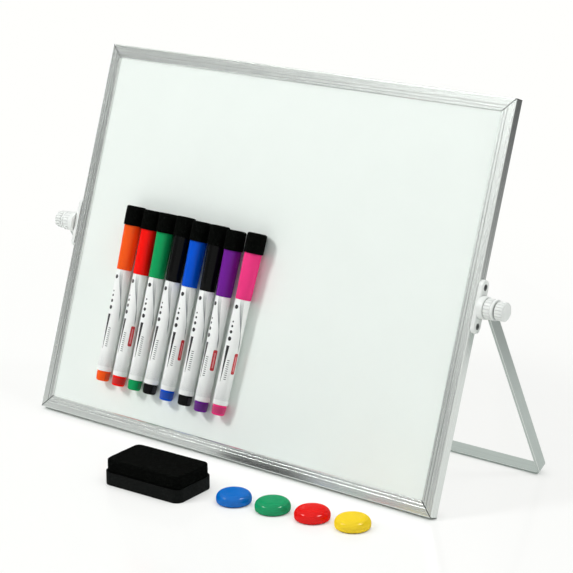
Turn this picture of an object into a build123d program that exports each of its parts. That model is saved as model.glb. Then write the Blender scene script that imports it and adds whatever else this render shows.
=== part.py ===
from build123d import *
from math import acos, asin, atan2, cos, degrees, hypot, radians, sin
import os

# A magnetic desk whiteboard that swivels on a bent-bar stand, with its set of eight
# markers, a block eraser and four button magnets, laid out as they are used.
#
# Sizes are in millimetres.  +Z is up, +X runs along the board and the board faces -Y.
# The origin lies on the desk, half way along the set and half way from front to back.

# ---------------------------------------------------------------- board
BOARD_WIDTH = 355.0
BOARD_HEIGHT = 280.0
BOARD_DEPTH = 8.0
BOARD_TILT = 19.0  # degrees that the board leans back from upright

RAIL_FACE = 9.8  # from the outer edge of a rail to its inner lip
RAIL_WALL = 1.2  # outer wall of the extrusion
LIP_THICKNESS = 1.0  # lip in front of and behind the panel
CHAMBER_DEPTH = 2.8  # hollow that takes the corner keys
WEB_THICKNESS = 0.8  # between the hollow and the panel's slot
RAIL_CHAMFER = 0.6  # outer corners of the extrusion
LIP_CHAMFER = 0.6  # inner corner of each lip
GROOVE_WIDTH = 0.5
GROOVE_DEPTH = 0.3
BAND_WIDTH = 5.2  # plain outer band of a rail, up to its first groove
GROOVE_SPACING = 2.2
MITRE_GAP = 0.05  # each rail stops this far short of the corner's diagonal

KEY_LEG = 22.0  # each leg of a corner key, from the corner of the hollow
KEY_PLAY = 0.1

SHEET_THICKNESS = 0.35  # lacquered steel, front and back
PANEL_PLAY = 0.2  # between the panel's edge and the web behind it

# ---------------------------------------------------------------- pivot
PIVOT_HEIGHT = 142.0  # up the board from its lower edge
PLATE_LENGTH = 36.0
PLATE_WIDTH = 8.4
PLATE_THICKNESS = 3.4
PLATE_CHAMFER = 0.7
FLANGE_DIAMETER = 15.4
FLANGE_THICKNESS = 4.4
COLLAR_DIAMETER = 14.2
COLLAR_LENGTH = 7.4
COLLAR_PLAIN_BAND = 2.1  # smooth outer end of the collar, past its ribs
COLLAR_FLOOR = 1.1  # wall of the collar between the flange and the stand's leg
LEG_PLAY = 0.05  # on every side of the leg's end, in the collar's slot
NUT_WIDTH = 6.0  # brass nut in the bracket, across its flats
NUT_LENGTH = 7.5
STUD_DIAMETER = 4.0
STUD_PLAY = 0.08  # radial, in the nut, the collar and the stand's hole
STUD_GRIP = 5.8  # length of the stud that is held in the knob
STUD_ENGAGEMENT = 6.5  # length of the stud that is in the nut
KNOB_DIAMETER = 12.8
KNOB_LENGTH = 6.4
KNOB_CHAMFER = 0.7
KNOB_NECK_DIAMETER = 9.0
KNOB_NECK_LENGTH = 0.7  # short neck that bears on the collar
RIB_COUNT = 18  # round each collar and each knob
RIB_DEPTH = 0.5
RIB_GAP = 1.0
CLAMP_PLAY = 0.05  # on each side of the collar, before the knob is tightened
SCREW_SPACING = 26.0
SCREW_LENGTH = 6.4
SCREW_DIAMETER = 2.4
SCREW_HEAD_DIAMETER = 4.4
SCREW_HEAD_HEIGHT = 1.5
SCREW_PLAY = 0.06

# ---------------------------------------------------------------- stand
BAR_WIDTH = 9.0
BAR_THICKNESS = 2.0
LEG_SPARE = 8.0  # the legs reach this much further than the board does below its pivot
LEG_STRAIGHT = 8.0  # top of each leg, which stands square to the pivot
LEG_SPLAY = 3.9  # how much further out each leg stands at the foot than at its pivot
BEND_RADIUS = 2.5  # inside of each bend

# ---------------------------------------------------------------- markers
MARKER_COUNT = 8
BARREL_DIAMETER = 11.0
BARREL_LENGTH = 76.0
PLUG_DIAMETER = 10.4
PLUG_END_DIAMETER = 9.4
PLUG_LENGTH = 7.6
NOSE_WIDTH = 9.2  # front of the barrel, inside the cap, across its flats
NOSE_LENGTH = 20.0
NIB_WIDTH = 4.4
NIB_THICKNESS = 3.0
NIB_LENGTH = 7.0
NIB_SLANT = 2.5  # how much shorter the chisel tip is on one side
CAP_MOUTH_DIAMETER = 11.4
CAP_TOP_DIAMETER = 12.7
CAP_LENGTH = 33.4
CAP_PLAY = 0.1  # between the nose and the flats of the cap's bore
NIB_ROOM = 1.0  # between the nib's tip and the end of the cap's bore
FELT_DIAMETER = 14.4
FELT_LENGTH = 14.4
FELT_CHAMFER = 1.0
CAP_MAGNET_WIDTH = 5.0  # square block under the felt
CAP_MAGNET_THICKNESS = 2.0
REST_GAP = 0.25  # between a marker and the sheet that it clings to

MARKER_GAP = 1.9  # mean space between two felts
MARKER_ROW_LEFT = 60.2  # first marker's top, from the board's left edge
MARKER_ROW_FOOT = 29.9  # mean height of the tails above the board's lower edge
TOP_OFFSETS = (0.0, 0.5, -0.8, -0.3, -1.3, -1.0, -1.9, 0.3)  # laid by hand, not quite even
FOOT_OFFSETS = (1.3, 0.6, 0.7, 0.8, -0.4, -0.5, -1.7, -0.7)
MARKER_LEANS = (0.6, 1.1, 0.8, 1.7, 1.2, 0.9, 0.9, 1.9)  # degrees, clockwise

# ---------------------------------------------------------------- eraser
ERASER_LENGTH = 66.0
ERASER_WIDTH = 38.5
HANDLE_HEIGHT = 9.8
HANDLE_CORNER = 6.0
TRAY_DEPTH = 1.0  # shallow seat for the felt in the top of the handle
TRAY_RIM = 1.1
ERASER_HEIGHT = 18.6
ERASER_PLACE = (-5.4, -61.7)  # from the middle of the board's front lower edge
ERASER_TURN = 2.5

# ---------------------------------------------------------------- button magnets
MAGNET_COUNT = 4
MAGNET_DIAMETER = 24.4
MAGNET_HEIGHT = 8.0
MAGNET_SIDE_HEIGHT = 2.9  # top of its upright side
MAGNET_SHOULDER = (6.2, 22.4)  # height and diameter where its slope eases
MAGNET_TOP_DIAMETER = 18.5
DISC_DIAMETER = 21.0
DISC_THICKNESS = 2.6
DISC_PROUD = 0.6  # the disc stands this far out of its shell
MAGNET_FIRST = (54.3, -52.5)  # from the middle of the board's front lower edge
MAGNET_STEP = (29.3, 4.75)

# The markers, felts and button magnets are cut with this many flats in place of a true
# round, and the knobs and collars with one flat to each rib.  The set repeats them often.
ROUND_FLAT_COUNT = 26
NOSE_FLAT_COUNT = 12

# ---------------------------------------------------------------- worked out from these
side = BOARD_WIDTH / 2
half_depth = BOARD_DEPTH / 2
slot_half = half_depth - LIP_THICKNESS  # the panel fills the space between the lips
chamber_end = RAIL_WALL + CHAMBER_DEPTH
slot_floor = chamber_end + WEB_THICKNESS
panel_inset = slot_floor + PANEL_PLAY
panel_width = BOARD_WIDTH - 2 * panel_inset
panel_height = BOARD_HEIGHT - 2 * panel_inset

tilt = radians(BOARD_TILT)
board_up = Vector(0, sin(tilt), cos(tilt))
board_out = Vector(0, -cos(tilt), sin(tilt))
# The board stands on the back corner of its lower edge, where the chamfer starts.
board_origin = Vector(0, half_depth * cos(tilt), (half_depth - RAIL_CHAMFER) * sin(tilt))
board_frame = Plane(origin=board_origin, x_dir=(1, 0, 0), z_dir=board_out)
pivot = board_origin + board_up * PIVOT_HEIGHT

flange_start = PLATE_THICKNESS
flange_end = flange_start + FLANGE_THICKNESS
collar_start = flange_end + CLAMP_PLAY
collar_end = collar_start + COLLAR_LENGTH
bar_start = collar_start + COLLAR_FLOOR + LEG_PLAY
bar_end = bar_start + BAR_THICKNESS
neck_start = collar_end + CLAMP_PLAY
knob_start = neck_start + KNOB_NECK_LENGTH
knob_end = knob_start + KNOB_LENGTH
nut_end = flange_end
nut_start = nut_end - NUT_LENGTH
stud_start = nut_end - STUD_ENGAGEMENT
stud_end = neck_start + STUD_GRIP

# The leg leans so that the lower front edge of the foot bar meets the desk.
foot_reach = BAR_WIDTH / 2
leg_length = PIVOT_HEIGHT + LEG_SPARE
leg_angle = atan2(foot_reach, leg_length) + acos(pivot.Z / hypot(leg_length, foot_reach))
stand_frame = Plane(
    origin=pivot, x_dir=(1, 0, 0), z_dir=(0, -cos(leg_angle), -sin(leg_angle))
)

shoulder = PLUG_LENGTH + BARREL_LENGTH
nose_end = shoulder + NOSE_LENGTH
cap_end = shoulder + CAP_LENGTH
marker_length = cap_end + FELT_LENGTH
marker_pitch = FELT_DIAMETER + MARKER_GAP
lift_angle = asin((FELT_DIAMETER - BARREL_DIAMETER) / 2 / (cap_end - PLUG_LENGTH))
cap_flare = degrees(atan2((CAP_TOP_DIAMETER - CAP_MOUTH_DIAMETER) / 2, CAP_LENGTH))
plug_flare = degrees(atan2((PLUG_DIAMETER - PLUG_END_DIAMETER) / 2, PLUG_LENGTH))


def round_outline(diameter):
    return RegularPolygon(diameter / 2, ROUND_FLAT_COUNT, major_radius=False)


def cut_ribs(prism, diameter, length):
    """Notch the corners of a prism up to this length, so that each of its sides is a rib."""
    notch = extrude(Rectangle(2 * RIB_DEPTH, RIB_GAP), amount=length)
    return prism - [loc * notch for loc in PolarLocations(diameter / 2, RIB_COUNT)]


# ---------------------------------------------------------------- frame and panel
def rail_profile():
    """End of the extrusion: x runs in from its outer edge, y through the board."""
    outline = Rectangle(RAIL_FACE, BOARD_DEPTH, align=(Align.MIN, Align.CENTER))
    corners = outline.vertices().group_by(Axis.X)
    outline = chamfer(corners[0], RAIL_CHAMFER)
    outline = chamfer(outline.vertices().group_by(Axis.X)[-1], LIP_CHAMFER)
    chamber = Rectangle(CHAMBER_DEPTH, 2 * slot_half, align=(Align.MIN, Align.CENTER))
    slot = Rectangle(RAIL_FACE, 2 * slot_half, align=(Align.MIN, Align.CENTER))
    outline -= Pos(RAIL_WALL, 0) * chamber
    outline -= Pos(slot_floor, 0) * slot
    for face in (-1, 1):
        for place in (BAND_WIDTH, BAND_WIDTH + GROOVE_SPACING):
            groove = Rectangle(GROOVE_WIDTH, 2 * GROOVE_DEPTH, align=(Align.MIN, Align.CENTER))
            outline -= Pos(place, face * half_depth) * groove
    return outline


def mitred_rail(length):
    """One rail with both ends cut at 45 degrees, centred on its length along z."""
    bar = extrude(rail_profile(), amount=length / 2, both=True)
    outer = length / 2 - MITRE_GAP
    inner = outer - RAIL_FACE
    trapezium = make_face(
        Polyline(
            (0, outer), (RAIL_FACE, inner), (RAIL_FACE, -inner), (0, -outer), close=True
        )
    )
    cutter = extrude(Plane.XZ * trapezium, amount=BOARD_DEPTH, both=True)
    return bar & cutter


def frame_rails():
    """The four rails, each laid along its own edge of the board."""
    middle = BOARD_HEIGHT / 2
    places = {
        "frame_rail_bottom": Plane((0, 0, 0), x_dir=(0, 1, 0), z_dir=(1, 0, 0)),
        "frame_rail_top": Plane((0, BOARD_HEIGHT, 0), x_dir=(0, -1, 0), z_dir=(-1, 0, 0)),
        "frame_rail_left": Plane((-side, middle, 0), x_dir=(1, 0, 0), z_dir=(0, -1, 0)),
        "frame_rail_right": Plane((side, middle, 0), x_dir=(-1, 0, 0), z_dir=(0, 1, 0)),
    }
    rails = {}
    for name, place in places.items():
        upright = name.endswith(("left", "right"))
        rail = mitred_rail(BOARD_HEIGHT if upright else BOARD_WIDTH)
        rails[name] = place.location * rail
    pilot = Cylinder(SCREW_DIAMETER / 2 + SCREW_PLAY, 4 * RAIL_WALL)
    for name, hand in (("frame_rail_left", -1), ("frame_rail_right", 1)):
        for step in (-1, 1):
            height = PIVOT_HEIGHT + step * SCREW_SPACING / 2
            hole = Pos(hand * side, height, 0) * Rot(0, 90, 0) * pilot
            rails[name] -= hole
    return rails


def corner_keys():
    """L-shaped keys that are pressed into the hollows and hold the mitres together."""
    start = RAIL_WALL + KEY_PLAY
    end = chamber_end - KEY_PLAY
    tip = start + KEY_LEG
    outline = make_face(
        Polyline(
            (start, start), (tip, start), (tip, end), (end, end), (end, tip), (start, tip),
            close=True,
        )
    )
    key = extrude(outline, amount=slot_half - KEY_PLAY, both=True)
    upper = mirror(key, Plane.XZ)
    keys = []
    for hand in (-1, 1):
        for foot, piece in ((0, key), (BOARD_HEIGHT, upper)):
            placed = piece if hand < 0 else mirror(piece, Plane.YZ)
            keys.append(Pos(hand * side, foot, 0) * placed)
    return keys


def panel_layer(low, high):
    """A layer of the panel between two depths, measured from mid-thickness."""
    layer = Box(panel_width, panel_height, high - low)
    return Pos(0, BOARD_HEIGHT / 2, (low + high) / 2) * layer


# ---------------------------------------------------------------- pivot pieces
# Each is turned about z, which points away from the board's side.  The board's pieces have
# x up the board, and the collar, which goes with the stand, has x up the leg.
def pivot_bracket():
    plate = extrude(SlotOverall(PLATE_LENGTH, PLATE_WIDTH), amount=PLATE_THICKNESS)
    plate = chamfer(plate.faces().sort_by(Axis.Z)[-1].edges(), PLATE_CHAMFER)
    flange = Cylinder(
        FLANGE_DIAMETER / 2, FLANGE_THICKNESS, align=(Align.CENTER, Align.CENTER, Align.MIN)
    )
    bracket = plate + Pos(0, 0, flange_start) * flange
    bracket -= Pos(0, 0, nut_start) * extrude(nut_outline(), amount=NUT_LENGTH)
    for step in (-1, 1):
        place = Pos(step * SCREW_SPACING / 2, 0, 0)
        bracket -= place * screw_body(SCREW_PLAY, PLATE_THICKNESS)
    return bracket


def screw_body(play, length):
    """A flush screw, or with some play the hole for one, from its head downwards."""
    down = (Align.CENTER, Align.CENTER, Align.MAX)
    head = Cylinder(SCREW_HEAD_DIAMETER / 2 + play, SCREW_HEAD_HEIGHT, align=down)
    shank = Cylinder(SCREW_DIAMETER / 2 + play, length, align=down)
    return Pos(0, 0, PLATE_THICKNESS) * (head + shank)


def pivot_collar():
    """Ribbed collar at the flange, with a slot from below for the end of the stand's leg."""
    collar = extrude(RegularPolygon(COLLAR_DIAMETER / 2, RIB_COUNT), amount=COLLAR_LENGTH)
    collar = cut_ribs(collar, COLLAR_DIAMETER, COLLAR_LENGTH - COLLAR_PLAIN_BAND)
    collar -= Cylinder(STUD_DIAMETER / 2 + STUD_PLAY, 2 * COLLAR_LENGTH)
    end = BAR_WIDTH / 2 + LEG_PLAY
    slot = Box(
        end + COLLAR_DIAMETER, 2 * end, BAR_THICKNESS + 2 * LEG_PLAY,
        align=(Align.MAX, Align.CENTER, Align.MIN),
    )
    collar -= Pos(end, 0, COLLAR_FLOOR) * slot
    return Pos(0, 0, collar_start) * collar


def nut_outline():
    return RegularPolygon(NUT_WIDTH / 2, 6, major_radius=False)


def pivot_nut():
    nut = extrude(nut_outline(), amount=NUT_LENGTH)
    nut -= Cylinder(STUD_DIAMETER / 2 + STUD_PLAY, 3 * NUT_LENGTH)
    return Pos(0, 0, nut_start) * nut


def clamp_knob():
    knob = extrude(RegularPolygon(KNOB_DIAMETER / 2, RIB_COUNT), amount=KNOB_LENGTH)
    knob = chamfer(knob.faces().sort_by(Axis.Z)[-1].edges(), KNOB_CHAMFER)
    knob = cut_ribs(knob, KNOB_DIAMETER, KNOB_LENGTH)
    neck = RegularPolygon(KNOB_NECK_DIAMETER / 2, RIB_COUNT)
    knob += extrude(neck, amount=-KNOB_NECK_LENGTH)
    grip = Cylinder(
        STUD_DIAMETER / 2, STUD_GRIP, align=(Align.CENTER, Align.CENTER, Align.MIN)
    )
    knob -= Pos(0, 0, -KNOB_NECK_LENGTH) * grip
    return Pos(0, 0, knob_start) * knob


def knob_stud():
    length = stud_end - stud_start
    stud = Cylinder(STUD_DIAMETER / 2, length, align=(Align.CENTER, Align.CENTER, Align.MIN))
    return Pos(0, 0, stud_start) * stud


def pivot_frame(hand, height):
    """Frame of one pivot, this far up the board's frame or the stand's: z away from both."""
    return Plane((hand * side, height, 0), x_dir=(0, 1, 0), z_dir=(hand, 0, 0))


# ---------------------------------------------------------------- stand
def legs_outline(inset, depth):
    """Area that lies this far within the legs' outer faces, down to this depth."""
    top = side + bar_end - inset
    slope = LEG_SPLAY / (leg_length - LEG_STRAIGHT)
    foot = top + slope * (depth - LEG_STRAIGHT)
    right = [(top, 0), (top, -LEG_STRAIGHT), (foot, -depth)]
    left = [(-x, y) for x, y in reversed(right)]
    return make_face(Polyline(*right, *left, close=True))


def stand_bar():
    """Flat bar bent to a U: two legs that splay from their pivots, and a foot bar."""
    blank = legs_outline(0, leg_length)
    space = legs_outline(BAR_THICKNESS, leg_length - BAR_THICKNESS)
    blank = fillet(blank.vertices().group_by(Axis.Y)[0], BEND_RADIUS + BAR_THICKNESS)
    space = fillet(space.vertices().group_by(Axis.Y)[0], BEND_RADIUS)
    bar = extrude(blank - space, amount=BAR_WIDTH / 2, both=True)
    for hand in (-1, 1):
        centre = Pos(hand * (side + (bar_start + bar_end) / 2), 0, 0) * Rot(0, 90, 0)
        bar += centre * Cylinder(BAR_WIDTH / 2, BAR_THICKNESS)
        bar -= centre * Cylinder(STUD_DIAMETER / 2 + STUD_PLAY, 2 * BAR_THICKNESS)
    return bar


# ---------------------------------------------------------------- marker pieces
# Each stands along z, which runs from the marker's tail to its felt.
def marker_barrel():
    barrel = extrude(round_outline(BARREL_DIAMETER), amount=BARREL_LENGTH)
    nose = extrude(nose_outline(0), amount=NOSE_LENGTH)
    return Pos(0, 0, PLUG_LENGTH) * barrel + Pos(0, 0, shoulder) * nose


def nose_outline(play):
    """Flats of the barrel's nose, or with some play those of the cap's bore."""
    return RegularPolygon(NOSE_WIDTH / 2 + play, NOSE_FLAT_COUNT, major_radius=False)


def marker_plug():
    return extrude(round_outline(PLUG_END_DIAMETER), amount=PLUG_LENGTH, taper=-plug_flare)


def marker_nib():
    """Chisel nib: a flat felt bar with a slanted tip."""
    half = NIB_WIDTH / 2
    outline = make_face(
        Polyline(
            (-half, 0), (half, 0), (half, NIB_LENGTH - NIB_SLANT), (-half, NIB_LENGTH),
            close=True,
        )
    )
    return Pos(0, 0, nose_end) * extrude(Plane.XZ * outline, amount=NIB_THICKNESS / 2, both=True)


def marker_cap():
    cap = extrude(round_outline(CAP_MOUTH_DIAMETER), amount=CAP_LENGTH, taper=-cap_flare)
    cap -= extrude(nose_outline(CAP_PLAY), amount=NOSE_LENGTH + NIB_LENGTH + NIB_ROOM)
    return Pos(0, 0, shoulder) * cap - cap_magnet()


def cap_magnet():
    block = Rectangle(CAP_MAGNET_WIDTH, CAP_MAGNET_WIDTH)
    return Pos(0, 0, cap_end) * extrude(block, amount=-CAP_MAGNET_THICKNESS)


def marker_felt():
    felt = extrude(round_outline(FELT_DIAMETER), amount=FELT_LENGTH)
    felt = chamfer(felt.faces().sort_by(Axis.Z)[-1].edges(), FELT_CHAMFER)
    return Pos(0, 0, cap_end) * felt


def marker_frame(index):
    """Frame of one marker on the board: z along the marker, y away from the sheet."""
    lean = radians(MARKER_LEANS[index])
    along = Vector(
        sin(lean) * cos(lift_angle), cos(lean) * cos(lift_angle), sin(lift_angle)
    )
    across = Vector(cos(lean), -sin(lean), 0)
    top = MARKER_ROW_LEFT + index * marker_pitch + TOP_OFFSETS[index] - side
    foot = MARKER_ROW_FOOT + FOOT_OFFSETS[index]
    depth = slot_half + REST_GAP + BARREL_DIAMETER / 2 - PLUG_LENGTH * sin(lift_angle)
    tail = Vector(top - marker_length * along.X, foot, depth)
    return Plane(origin=tail, x_dir=across, z_dir=along)


# ---------------------------------------------------------------- eraser
def eraser_outline(inset):
    return RectangleRounded(
        ERASER_LENGTH - 2 * inset, ERASER_WIDTH - 2 * inset, HANDLE_CORNER - inset
    )


def eraser_handle():
    handle = extrude(eraser_outline(0), amount=HANDLE_HEIGHT)
    tray = extrude(eraser_outline(TRAY_RIM), amount=TRAY_DEPTH)
    return handle - Pos(0, 0, HANDLE_HEIGHT - TRAY_DEPTH) * tray


def eraser_felt():
    seat = HANDLE_HEIGHT - TRAY_DEPTH
    felt = extrude(eraser_outline(TRAY_RIM), amount=ERASER_HEIGHT - seat)
    return Pos(0, 0, seat) * felt


# ---------------------------------------------------------------- button magnets
def magnet_disc():
    return extrude(round_outline(DISC_DIAMETER), amount=DISC_THICKNESS)


def magnet_shell():
    """Plastic button over the disc: an upright side, then two slopes up to a flat top."""
    shell = extrude(round_outline(MAGNET_DIAMETER), amount=MAGNET_SIDE_HEIGHT - DISC_PROUD)
    shell = Pos(0, 0, DISC_PROUD) * shell
    rings = (
        (MAGNET_SIDE_HEIGHT, MAGNET_DIAMETER),
        MAGNET_SHOULDER,
        (MAGNET_HEIGHT, MAGNET_TOP_DIAMETER),
    )
    for (low, wide), (high, narrow) in zip(rings, rings[1:]):
        slope = degrees(atan2((wide - narrow) / 2, high - low))
        shell += Pos(0, 0, low) * extrude(round_outline(wide), amount=high - low, taper=slope)
    return shell - magnet_disc()


# ---------------------------------------------------------------- the whole set
def on_board(shape, place=Location()):
    return board_frame.location * place * shape


def on_desk(shape, place, turn=0.0):
    return Pos(place[0], place[1], 0) * Rot(0, 0, turn) * shape


def build_parts():
    """Every node's solids, by name, with the board's front lower edge over y = 0."""
    parts = {name: [on_board(rail)] for name, rail in frame_rails().items()}
    parts["corner_keys"] = [on_board(key) for key in corner_keys()]
    skin = slot_half - SHEET_THICKNESS
    parts["writing_sheet_front"] = [on_board(panel_layer(skin, slot_half))]
    parts["core_panel"] = [on_board(panel_layer(-skin, skin))]
    parts["writing_sheet_back"] = [on_board(panel_layer(-slot_half, -skin))]

    parts["bracket_screws"] = []
    parts["pivot_collars"] = []
    parts["pivot_nuts"] = []
    for hand, name in ((-1, "left"), (1, "right")):
        place = pivot_frame(hand, PIVOT_HEIGHT).location
        leg_end = stand_frame.location * pivot_frame(hand, 0).location
        parts[f"pivot_bracket_{name}"] = [on_board(pivot_bracket(), place)]
        parts[f"clamp_knob_{name}"] = [on_board(clamp_knob(), place)]
        parts[f"knob_stud_{name}"] = [on_board(knob_stud(), place)]
        parts["pivot_collars"].append(leg_end * pivot_collar())
        parts["pivot_nuts"].append(on_board(pivot_nut(), place))
        for step in (-1, 1):
            screw = Pos(step * SCREW_SPACING / 2, 0, 0) * screw_body(0, SCREW_LENGTH)
            parts["bracket_screws"].append(on_board(screw, place))

    parts["stand_bar"] = [stand_frame.location * stand_bar()]

    for index in range(MARKER_COUNT):
        name = f"marker_{index + 1}"
        place = marker_frame(index).location
        parts[f"{name}_barrel"] = [on_board(marker_barrel(), place)]
        parts[f"{name}_plug_and_nib"] = [
            on_board(marker_plug(), place), on_board(marker_nib(), place)
        ]
        parts[f"{name}_cap"] = [on_board(marker_cap(), place), on_board(cap_magnet(), place)]
        parts[f"{name}_felt"] = [on_board(marker_felt(), place)]

    parts["eraser_handle"] = [on_desk(eraser_handle(), ERASER_PLACE, ERASER_TURN)]
    parts["eraser_felt"] = [on_desk(eraser_felt(), ERASER_PLACE, ERASER_TURN)]
    for index in range(MAGNET_COUNT):
        place = [MAGNET_FIRST[axis] + index * MAGNET_STEP[axis] for axis in (0, 1)]
        parts[f"magnet_{index + 1}_shell"] = [on_desk(magnet_shell(), place)]
        parts[f"magnet_{index + 1}_disc"] = [on_desk(magnet_disc(), place)]
    return parts


parts = build_parts()
front = min(solid.bounding_box().min.Y for solids in parts.values() for solid in solids)
back = max(solid.bounding_box().max.Y for solids in parts.values() for solid in solids)
to_origin = Pos(0, -(front + back) / 2, 0)

os.makedirs("parts", exist_ok=True)
for name, solids in parts.items():
    placed = [to_origin * solid for solid in solids]
    shape = placed[0] if len(placed) == 1 else Compound(children=placed)
    shape.label = name
    export_step(shape, f"parts/{name}.step")

print(len(parts), "nodes; set shifted by", round(to_origin.position.Y, 4), "in y")
print("pivot", (to_origin * Pos(*pivot)).position, "leg leans", round(degrees(leg_angle), 3))
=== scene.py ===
# %% Load the frame
import bmesh
import bpy
import math
from mathutils import Matrix, Vector, noise


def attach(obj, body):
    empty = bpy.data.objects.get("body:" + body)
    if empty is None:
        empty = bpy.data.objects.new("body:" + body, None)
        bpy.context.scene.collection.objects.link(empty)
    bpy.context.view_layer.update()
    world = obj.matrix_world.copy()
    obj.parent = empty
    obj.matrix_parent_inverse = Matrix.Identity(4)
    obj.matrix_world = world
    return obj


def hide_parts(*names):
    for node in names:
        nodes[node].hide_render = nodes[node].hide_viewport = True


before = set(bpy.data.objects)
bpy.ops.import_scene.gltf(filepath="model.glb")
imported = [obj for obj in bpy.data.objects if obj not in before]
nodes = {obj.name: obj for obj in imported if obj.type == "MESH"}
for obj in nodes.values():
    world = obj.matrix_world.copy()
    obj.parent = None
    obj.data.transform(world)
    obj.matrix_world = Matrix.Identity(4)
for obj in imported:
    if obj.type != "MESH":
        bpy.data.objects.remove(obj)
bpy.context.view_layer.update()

MM = 0.001

# %% [markdown]
# The set stands on a pale desk and is seen a little from the right and from above.  The
# camera is placed first, so that every later piece can be judged in the same view.  It was
# fitted to the edges of the board and to the stand: it stands 1.32 m from the board and
# uses a long lens, which is why the rails stay nearly parallel.

# %% Camera
camera = bpy.data.objects.new("camera", bpy.data.cameras.new("camera"))
bpy.context.scene.collection.objects.link(camera)
bpy.context.scene.camera = camera
AIM = Vector((0.05821, -0.02033, 0.13912))
azimuth, elevation, distance = math.radians(37.73), math.radians(16.38), 1.318
back = Vector((
    math.sin(azimuth) * math.cos(elevation),
    -math.cos(azimuth) * math.cos(elevation),
    math.sin(elevation),
))
camera.location = AIM + back * distance
camera.rotation_euler = back.to_track_quat("Z", "Y").to_euler()
camera.data.lens = 123.6
camera.data.clip_end = 30
print("camera at", camera.location)

# %% [markdown]
# Every finish here is a small graph of shader nodes.  A few helpers keep the graphs short:
# one starts a material with its plain settings, one adds a node and wires its inputs, and
# the rest are the nodes that come back in every finish.
# Colours are written as they look on a screen and are turned into the linear values that
# the shader wants.

# %% Helpers for finishes
def screen_colour(red, green, blue):
    parts = [value / 255 for value in (red, green, blue)]
    linear = [v / 12.92 if v <= 0.04045 else ((v + 0.055) / 1.055) ** 2.4 for v in parts]
    return (*linear, 1.0)


def start_finish(name, colour, roughness, **settings):
    material = bpy.data.materials.new(name)
    material.use_nodes = True
    skin = material.node_tree.nodes["Principled BSDF"]
    skin.inputs["Base Color"].default_value = colour
    skin.inputs["Roughness"].default_value = roughness
    for key, value in settings.items():
        skin.inputs[key.replace("_", " ").title().replace("Ior", "IOR")].default_value = value
    return material, material.node_tree, skin


def add(tree, kind, inputs=(), **settings):
    made = tree.nodes.new("ShaderNode" + kind)
    for key, value in settings.items():
        setattr(made, key, value)
    for key, value in dict(inputs).items():
        if isinstance(value, bpy.types.NodeSocket):
            tree.links.new(value, made.inputs[key])
        else:
            made.inputs[key].default_value = value
    return made


def place(tree, scale=(1, 1, 1), turn=(0, 0, 0)):
    """Object coordinates, turned and then stretched."""
    where = add(tree, "TexCoord").outputs["Object"]
    turned = add(tree, "Mapping", {"Vector": where, "Rotation": turn})
    return add(tree, "Mapping", {"Vector": turned.outputs[0], "Scale": scale}).outputs[0]


def grain(tree, where, scale, detail=4.0, roughness=0.6):
    settings = {"Vector": where, "Scale": scale, "Detail": detail, "Roughness": roughness}
    return add(tree, "TexNoise", settings).outputs["Fac"]


def ramp(tree, value, low, high, start=0.0, end=1.0):
    """Carries a value from one span onto another, straight and clamped."""
    inputs = {"Value": value, "From Min": start, "From Max": end, "To Min": low, "To Max": high}
    return add(tree, "MapRange", inputs).outputs[0]


def sums(tree, operation, first, second=0.0, third=0.0):
    inputs = {0: first, 1: second}
    if operation == "MULTIPLY_ADD":
        inputs[2] = third
    return add(tree, "Math", inputs, operation=operation).outputs[0]


def open_air(tree, reach, samples):
    """How much of the sky a point sees within a short reach: 1 in the open, 0 in a crevice."""
    settings = {"Distance": reach}
    return add(tree, "AmbientOcclusion", settings, samples=samples).outputs["AO"]


def blend_colours(tree, share, first, second):
    mix = add(tree, "Mix", data_type="RGBA")
    mix.inputs[0].default_value = 0.5
    for socket, value in ((0, share), (6, first), (7, second)):
        if isinstance(value, bpy.types.NodeSocket):
            tree.links.new(value, mix.inputs[socket])
        else:
            mix.inputs[socket].default_value = value
    return mix.outputs[2]


def bump(tree, skin, height, depth, strength=1.0):
    made = add(tree, "Bump", {"Height": height, "Distance": depth, "Strength": strength})
    tree.links.new(made.outputs[0], skin.inputs["Normal"])


def shade(colour, factor):
    return (*[min(1.0, part * factor) for part in colour[:3]], 1.0)


print("helpers for finishes ready")

# %% [markdown]
# A few measures of the set come back in many cells: the size of the board, how far it and
# the stand's legs lean, and the directions that go with those leans.

# %% Measures of the set
SIDE = 177.5  # from the middle of the board to its side, in millimetres
BOARD_HEIGHT = 280.0
TILT = math.radians(19.0)
LEG_LEAN = math.radians(27.288)
BOARD_FOOT = Vector((0, -0.016551, 0.001107))
BOARD_UP = Vector((0, math.sin(TILT), math.cos(TILT)))
BOARD_OUT = Vector((0, -math.cos(TILT), math.sin(TILT)))
LEG_UP = Vector((0, -math.sin(LEG_LEAN), math.cos(LEG_LEAN)))
print("board", 2 * SIDE, "x", BOARD_HEIGHT, "mm")

# %% [markdown]
# The frame is an aluminium extrusion, brushed along its length and clear anodised.  The
# brushing is long thin streaks, so a noise is stretched hard along the rail.  The board
# leans back by 19 degrees, and the side rails' streaks have to lean with it: the
# coordinates are turned upright first and stretched afterwards.  Where two rails meet in a
# mitre, the fine gap between them holds shade and grime, painted as a dark line.  It is
# found as the places that are equally far from the side and from the lower or upper edge.
# The two grooves along each rail, like all narrow places, are given painted shade too.

# %% Brushed metals
MITRE_HALF_WIDTH = 0.3 * MM
ALUMINIUM = screen_colour(224, 229, 226)
STEEL = screen_colour(190, 199, 195)


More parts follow.
